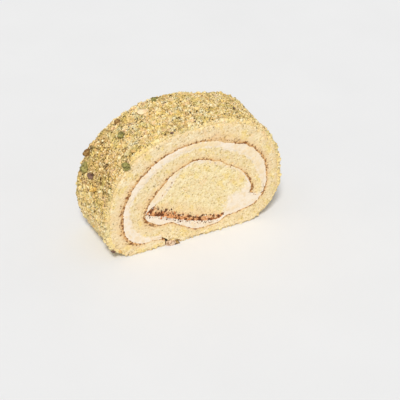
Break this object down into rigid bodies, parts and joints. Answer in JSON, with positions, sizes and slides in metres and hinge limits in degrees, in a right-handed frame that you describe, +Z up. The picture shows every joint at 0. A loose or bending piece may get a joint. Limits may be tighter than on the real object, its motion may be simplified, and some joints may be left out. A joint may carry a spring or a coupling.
{
  "type": "swiss roll cake slice",
  "caption": "Thick slice of swiss roll cake: a spiral of pale sponge with whipped cream between its turns, round a sponge core, with a coat of crumbs and chopped nuts outside.",
  "frame": {"origin": "middle of the slice on the surface it rests on", "axes": "+X across the cut face, +Y along the roll from the front cut face to the back one, +Z up"},
  "size_m": [0.1076, 0.038, 0.0711],
  "materials": {
    "crumbed_sponge": "matte, crumbly",
    "sponge": "matte, porous",
    "cream": "soft satin"
  },
  "bodies": {
    "root": {"sponge_sheet": "crumbed_sponge", "sponge_core": "sponge", "cream_outer": "cream", "cream_inner": "cream"}
  },
  "joints": []
}
